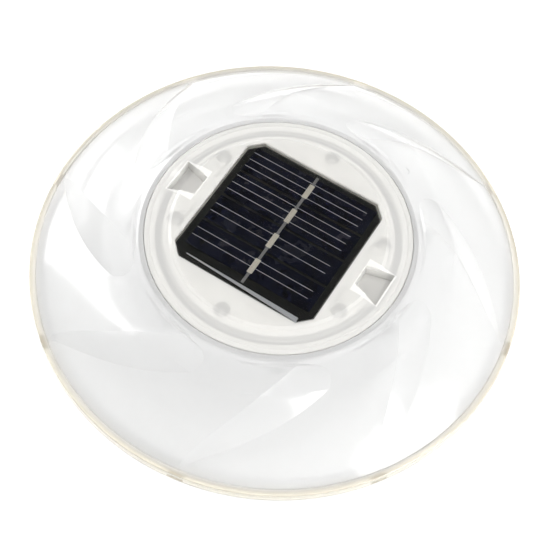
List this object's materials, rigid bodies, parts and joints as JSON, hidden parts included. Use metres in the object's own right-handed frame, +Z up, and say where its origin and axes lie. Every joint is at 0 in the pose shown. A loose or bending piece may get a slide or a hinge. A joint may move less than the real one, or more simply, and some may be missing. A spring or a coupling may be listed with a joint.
{
  "type": "floating pool light",
  "caption": "Round clear floating pool light: swirl-ribbed two-shell float, twist-lock solar lamp capsule, coin-slot battery cap and push switch.",
  "frame": {"origin": "centre of the foot ring, on the surface the float rests on", "axes": "+Z up through the window of the lamp, +X and +Y along the sides of the solar panel"},
  "size_m": [0.192, 0.192, 0.0536],
  "materials": {
    "clear_shell": "moulded clear polystyrene, gloss",
    "frosted_shell": "moulded clear polystyrene, lightly frosted",
    "clear_cover": "moulded clear polycarbonate, gloss",
    "satin_cover": "moulded clear polycarbonate, satin",
    "clear_resin": "cast clear epoxy, gloss",
    "seal_clear": "moulded translucent silicone",
    "board_black": "solder mask on glass fibre board",
    "solar_cell": "dark blue silicon under resin",
    "solder_silver": "tinned copper ribbon",
    "foam": "closed-cell foam tape",
    "white_plastic": "moulded ABS, satin",
    "milky_plastic": "moulded milky polystyrene, satin",
    "steel": "zinc-plated steel",
    "nickel": "nickel-plated strip",
    "board_white": "white solder mask on glass fibre board",
    "led_epoxy": "clear epoxy lens",
    "black_plastic": "moulded epoxy and nylon",
    "lead_red": "PVC insulation",
    "lead_black": "PVC insulation",
    "battery_wrap": "shrink-wrapped steel can",
    "button_rubber": "moulded silicone rubber"
  },
  "bodies": {
    "float": {"upper_shell": "clear_shell", "lower_shell": "frosted_shell", "rim_seal": "seal_clear", "collar_seal": "seal_clear"},
    "lamp": {"hub_cover": "clear_cover", "lamp_base": "satin_cover", "capsule_seal": "seal_clear", "panel_board": "board_black", "solar_cells": "solar_cell", "panel_ribbon": "solder_silver", "bus_strip": "solder_silver", "panel_resin": "clear_resin", "panel_pads": "foam", "reflector": "milky_plastic", "cover_screws": "steel", "board_screws": "steel", "light_board": "board_white", "leds": "led_epoxy", "control_chip": "black_plastic", "drive_inductor": "black_plastic", "panel_lead_plus": "lead_red", "panel_lead_minus": "lead_black", "battery_lead": "lead_red", "contact_strip": "nickel", "spring_contact": "nickel", "battery_spring": "steel", "battery": "battery_wrap", "contact_cap": "white_plastic", "switch_body": "black_plastic"},
    "cap": {"battery_cap": "white_plastic", "cap_seal": "seal_clear", "cap_contact": "nickel"},
    "button": {"power_button": "button_rubber", "switch_plunger": "black_plastic"}
  },
  "joints": [
    {"name": "lamp_twist", "type": "hinge", "parent": "float", "child": "lamp", "pos_m": [0, 0, 0.0428], "axis": [0, 0, 1], "range_deg": [0, 35]},
    {"name": "battery_cap_twist", "type": "hinge", "parent": "lamp", "child": "cap", "pos_m": [0, 0, 0.008], "axis": [0, 0, 1], "range_deg": [0, 60]},
    {"name": "power_button_press", "type": "slide", "parent": "lamp", "child": "button", "axis": [0, 0, 1], "range_m": [0, 0.0012], "stiffness_N_per_m": 400, "springref_m": -0.0002}
  ]
}
